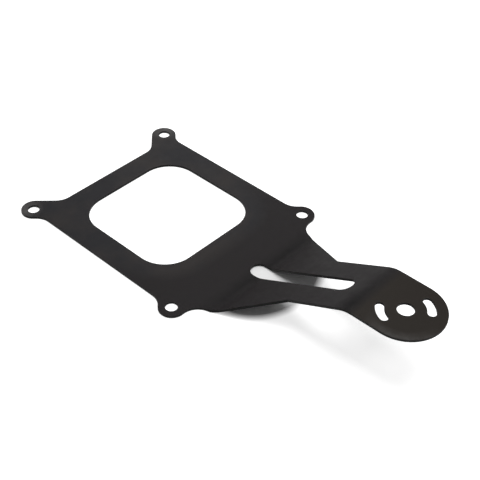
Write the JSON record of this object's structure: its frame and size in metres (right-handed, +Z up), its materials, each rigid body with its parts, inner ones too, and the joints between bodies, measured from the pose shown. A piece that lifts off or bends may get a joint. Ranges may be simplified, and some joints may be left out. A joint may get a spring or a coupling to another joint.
{
  "type": "solenoid mounting bracket",
  "caption": "Folded sheet-steel bracket: a carburettor flange plate with eared stud holes and a raised, slotted arm that ends in a round solenoid pad.",
  "frame": {"origin": "middle of the four stud holes, on the underside of the base plate", "axes": "+X along the arm from the plate to the solenoid pad, +Y across the plate, +Z up, out of the plate's top face, the way the arm rises"},
  "size_m": [0.3084, 0.1488, 0.044],
  "materials": {
    "black_coating": "satin black"
  },
  "bodies": {
    "root": {"solenoid_bracket": "black_coating"}
  },
  "joints": []
}
